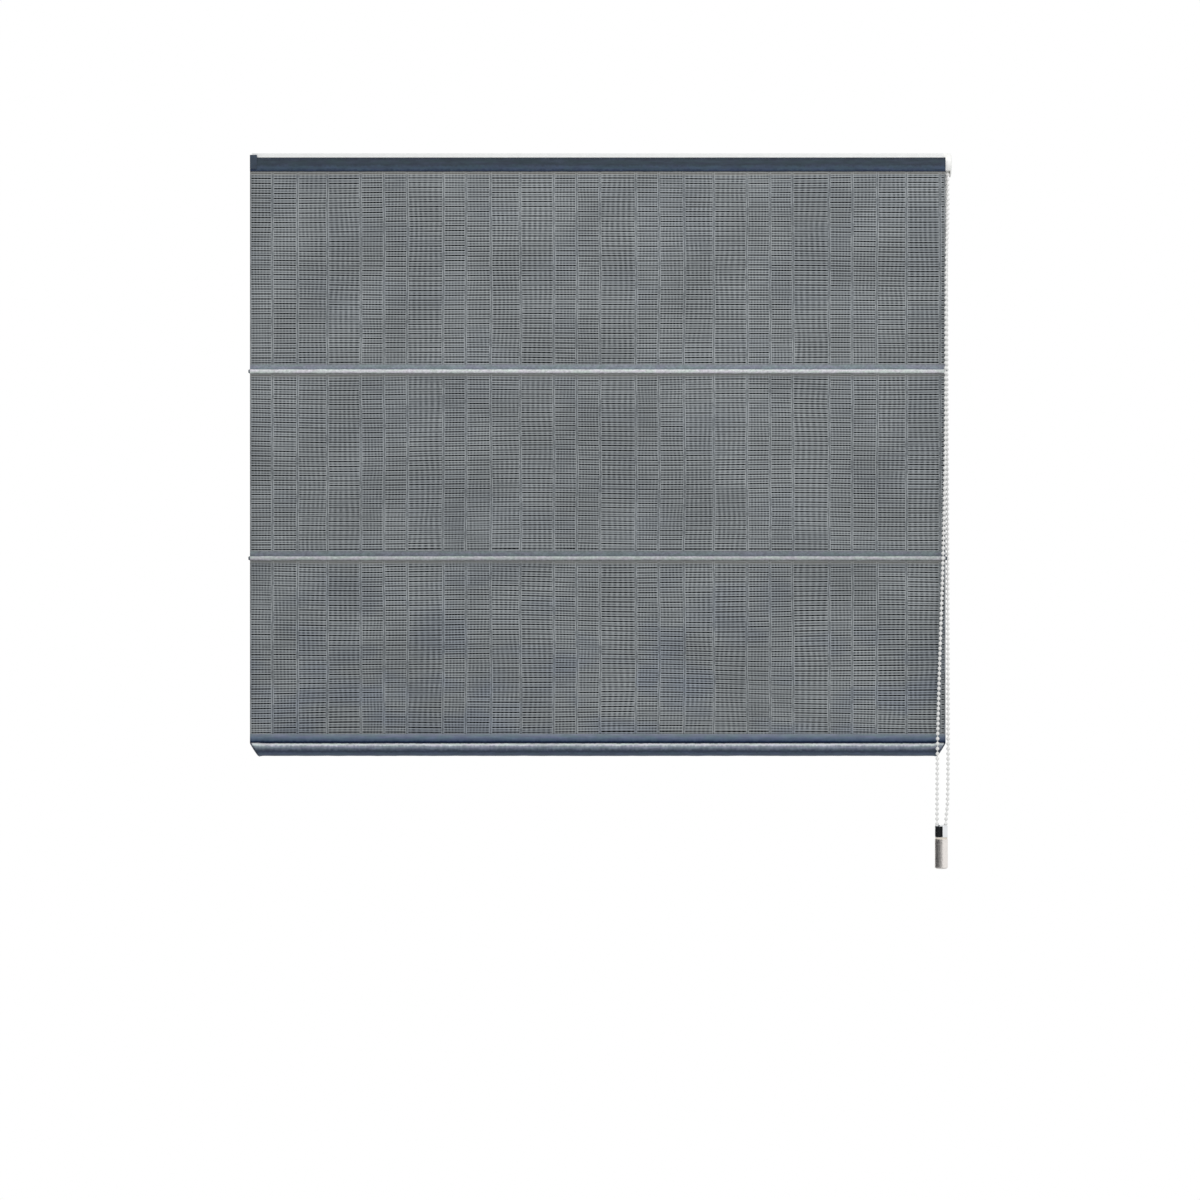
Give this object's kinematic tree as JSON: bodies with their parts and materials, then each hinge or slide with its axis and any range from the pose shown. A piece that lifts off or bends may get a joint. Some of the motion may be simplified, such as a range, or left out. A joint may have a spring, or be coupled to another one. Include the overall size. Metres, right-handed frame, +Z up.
{
  "type": "roman blind",
  "caption": "Flat roman blind: woven face with two piped battens, weighted bottom bar, open head rail, drum lift and a bead chain drive with a hanging weight.",
  "frame": {"origin": "middle of the four bracket screw holes on the wall plane", "axes": "+X along the blind to the right seen from the room, +Y into the wall, +Z up"},
  "size_m": [0.8441, 0.0688, 0.8591],
  "materials": {
    "rail_white": "satin white powder coat on extruded aluminium",
    "zinc_steel": "bright zinc plated pressed steel",
    "white_plastic": "moulded white plastic",
    "slate_plastic": "moulded dark slate plastic",
    "woven_slate": "slubbed grey weave with pale cross threads",
    "warp_thread": "paler vertical threads",
    "plain_slate": "plain closely woven slate cloth",
    "seam_cloth": "pale piped batten pocket",
    "tape": "hook and loop tape",
    "cord": "braided polyester lift cord",
    "shaft_steel": "drawn steel bar",
    "spring_steel": "oiled spring wire",
    "glass_fibre": "pultruded glass fibre rod",
    "mill_aluminium": "mill finish tube",
    "bead_white": "moulded white beads",
    "chrome": "bright chrome plate",
    "satin_steel": "satin turned steel"
  },
  "bodies": {
    "head": {"head_rail": "rail_white", "cam_rivets": "zinc_steel", "rail_bracket_left": "zinc_steel", "rail_bracket_right": "zinc_steel", "end_cap_left": "slate_plastic", "drive_housing": "white_plastic", "drive_cover": "white_plastic", "drum_cradle_left": "white_plastic", "drum_cradle_centre": "white_plastic", "drum_cradle_right": "white_plastic", "hook_tape": "tape", "loop_tape": "tape", "head_band": "plain_slate", "face_fabric": "woven_slate", "warp_ribs": "warp_thread", "lift_cord_left": "cord", "lift_cord_centre": "cord", "lift_cord_right": "cord"},
    "cam_left": {"bracket_cam_left": "white_plastic"},
    "cam_right": {"bracket_cam_right": "white_plastic"},
    "drive": {"drive_shaft": "shaft_steel", "chain_sprocket": "white_plastic", "clutch_hub": "white_plastic", "clutch_spring": "spring_steel", "cord_drum_left": "white_plastic", "cord_drum_centre": "white_plastic", "cord_drum_right": "white_plastic"},
    "upper_batten": {"batten_sleeve_upper": "seam_cloth", "batten_rod_upper": "glass_fibre", "batten_tips_upper": "slate_plastic", "cord_rings_upper": "white_plastic"},
    "lower_batten": {"batten_sleeve_lower": "seam_cloth", "batten_rod_lower": "glass_fibre", "batten_tips_lower": "slate_plastic", "cord_rings_lower": "white_plastic"},
    "bottom": {"bottom_bar": "mill_aluminium", "bottom_sleeve": "plain_slate", "bottom_cap_left": "slate_plastic", "bottom_cap_right": "slate_plastic", "cord_anchors": "white_plastic"},
    "chain_loop": {"bead_chain": "bead_white", "weight_cap": "chrome", "weight_body": "satin_steel"}
  },
  "joints": [
    {"name": "blind_lift", "type": "slide", "parent": "head", "child": "bottom", "axis": [0, 0, 1], "range_m": [0, 0.56], "deforming": ["face_fabric", "warp_ribs", "lift_cord_left", "lift_cord_centre", "lift_cord_right"]},
    {"name": "upper_batten_lift", "type": "slide", "parent": "head", "child": "upper_batten", "axis": [0, 0, 1], "range_m": [0, 0.1943]},
    {"name": "lower_batten_lift", "type": "slide", "parent": "head", "child": "lower_batten", "axis": [0, 0, 1], "range_m": [0, 0.3752]},
    {"name": "drive_turn", "type": "hinge", "parent": "head", "child": "drive", "pos_m": [0, -0.032, 0.0028], "axis": [-1, 0, 0], "range_deg": [0, 4380]},
    {"name": "cam_left_turn", "type": "hinge", "parent": "head", "child": "cam_left", "pos_m": [-0.32, -0.019, 0.012], "axis": [0, 0, 1], "range_deg": [0, 90]},
    {"name": "cam_right_turn", "type": "hinge", "parent": "head", "child": "cam_right", "pos_m": [0.32, -0.019, 0.012], "axis": [0, 0, 1], "range_deg": [0, 90]},
    {"name": "chain_swing", "type": "hinge", "parent": "head", "child": "chain_loop", "pos_m": [0.4113, -0.032, 0.0028], "axis": [0, -1, 0], "range_deg": [0, 10], "deforming": ["bead_chain"]}
  ],
  "couplings": [
    {"joint": "upper_batten_lift", "follows": "blind_lift", "ratio": 0.346},
    {"joint": "lower_batten_lift", "follows": "blind_lift", "ratio": 0.6691},
    {"joint": "drive_turn", "follows": "blind_lift", "rad_per_m": 136.05}
  ]
}
